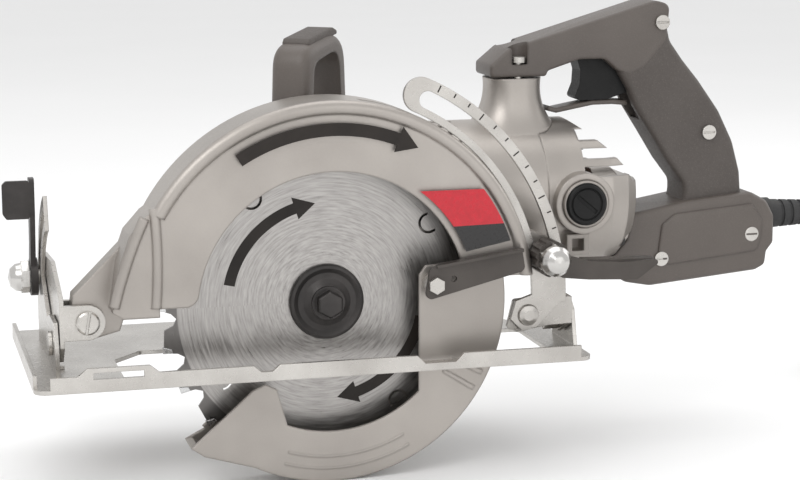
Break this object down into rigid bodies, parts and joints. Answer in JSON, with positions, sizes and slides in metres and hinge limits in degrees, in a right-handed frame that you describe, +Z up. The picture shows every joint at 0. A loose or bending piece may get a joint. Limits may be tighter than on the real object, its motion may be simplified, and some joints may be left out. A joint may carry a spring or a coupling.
{
  "type": "circular saw",
  "caption": "Worm-drive circular saw with a left-hand blade, sprung lower guard, tilting foot, rear trigger handle, front grip and a mains lead laid in a coil.",
  "frame": {"origin": "on the underside of the foot, straight below the blade's arbor and in the motor's vertical mid plane", "axes": "+X along the saw to the rear handle, -Y out of the blade side, +Z up, with the foot's underside in Z = 0"},
  "size_m": [0.6666, 0.2248, 0.2508],
  "materials": {
    "blade_steel": "brushed",
    "carbide": "ground",
    "black_steel": "black oxide",
    "shaft_steel": "ground",
    "bronze": "machined",
    "lamination": "stacked sheets",
    "copper": "varnished wire",
    "carbon": "matt",
    "fan_plastic": "matt",
    "cast_metal": "satin cast",
    "handle_plastic": "fine speckle",
    "black_plastic": "matt",
    "zinc_steel": "zinc plated",
    "dark_steel": "painted",
    "chrome": "polished",
    "spring_steel": "drawn wire",
    "label": "printed film",
    "rubber": "matt"
  },
  "bodies": {
    "housing": {"gear_housing": "cast_metal", "gear_case_cover": "cast_metal", "housing_screws": "black_steel", "oil_fill_plug": "zinc_steel", "motor_housing": "cast_metal", "motor_end_bell": "cast_metal", "brush_caps": "black_plastic", "brush_holders": "bronze", "carbon_brushes": "carbon", "field_stator": "lamination", "field_windings": "copper", "arbor_bearings": "shaft_steel", "armature_bearings": "shaft_steel", "handle_left_shell": "handle_plastic", "handle_right_shell": "handle_plastic", "handle_screws": "zinc_steel", "trigger_spring": "spring_steel", "switch_body": "black_plastic", "trigger_guard_bar": "handle_plastic", "front_handle": "handle_plastic", "front_handle_screws": "zinc_steel", "upper_guard": "cast_metal", "rating_label": "label", "guard_retainer": "zinc_steel", "guard_spring": "spring_steel", "depth_bolt": "zinc_steel", "strain_relief": "rubber", "power_cord": "rubber", "cord_coil": "rubber", "power_plug": "black_plastic"},
    "arbor": {"blade": "blade_steel", "carbide_tips": "carbide", "inner_flange": "shaft_steel", "outer_flange": "black_steel", "blade_bolt": "black_steel", "arbor_shaft": "shaft_steel", "worm_wheel": "bronze"},
    "armature": {"armature_shaft": "shaft_steel", "armature_core": "lamination", "armature_windings": "copper", "commutator": "copper", "cooling_fan": "fan_plastic", "worm": "shaft_steel"},
    "trigger": {"trigger": "black_plastic"},
    "lock_button": {"spindle_lock_button": "black_plastic"},
    "lower_guard": {"lower_guard": "cast_metal", "guard_lift_lever": "dark_steel", "lift_lever_bolt": "zinc_steel"},
    "depth_lever": {"depth_lever": "dark_steel", "depth_dome_nut": "chrome"},
    "depth_frame": {"front_bracket": "zinc_steel", "depth_pivot_screw": "zinc_steel", "rear_bracket": "zinc_steel", "bracket_pins": "zinc_steel", "bevel_bolt": "zinc_steel"},
    "depth_arm": {"depth_arm": "zinc_steel"},
    "bevel_lever": {"bevel_lever": "black_steel", "bevel_dome_nut": "chrome"},
    "foot": {"foot": "zinc_steel", "bevel_quadrant": "zinc_steel"}
  },
  "joints": [
    {"name": "blade_spin", "type": "hinge", "parent": "housing", "child": "arbor", "pos_m": [0, -0.052, 0.033], "axis": [0, 1, 0], "continuous": true},
    {"name": "armature_spin", "type": "hinge", "parent": "housing", "child": "armature", "pos_m": [0.083, 0, 0.079], "axis": [1, 0, 0], "continuous": true},
    {"name": "lower_guard_swing", "type": "hinge", "parent": "housing", "child": "lower_guard", "pos_m": [0, -0.048, 0.033], "axis": [0, -1, 0], "range_deg": [0, 115], "stiffness_Nm_per_rad": 0.12, "springref_deg": -91.67},
    {"name": "trigger_pull", "type": "slide", "parent": "housing", "child": "trigger", "axis": [1, 0, 0], "range_m": [0, 0.006], "stiffness_N_per_m": 500, "springref_m": -0.008},
    {"name": "lock_button_press", "type": "slide", "parent": "housing", "child": "lock_button", "axis": [0, -1, 0], "range_m": [0, 0.0025], "stiffness_N_per_m": 800, "springref_m": -0.003},
    {"name": "depth_swing", "type": "hinge", "parent": "housing", "child": "depth_frame", "pos_m": [-0.129, -0.05, 0.03], "axis": [0, 1, 0], "range_deg": [0, 22]},
    {"name": "depth_arm_swing", "type": "hinge", "parent": "depth_frame", "child": "depth_arm", "pos_m": [0.11, -0.0656, 0.022], "axis": [0, 1, 0], "range_deg": [-0.5, 15.5]},
    {"name": "depth_lever_turn", "type": "hinge", "parent": "housing", "child": "depth_lever", "pos_m": [0.119, -0.075, 0.055], "axis": [0, -1, 0], "range_deg": [0, 60]},
    {"name": "bevel_tilt", "type": "hinge", "parent": "depth_frame", "child": "foot", "pos_m": [0, -0.045, 0.017], "axis": [-1, 0, 0], "range_deg": [0, 45]},
    {"name": "bevel_lever_turn", "type": "hinge", "parent": "depth_frame", "child": "bevel_lever", "pos_m": [-0.149, 0.01984, 0.0406], "axis": [1, 0, 0], "range_deg": [0, 60]}
  ],
  "couplings": [
    {"joint": "armature_spin", "follows": "blade_spin", "ratio": -5.3333},
    {"joint": "depth_arm_swing", "follows": "depth_swing", "ratio": 0.645}
  ]
}
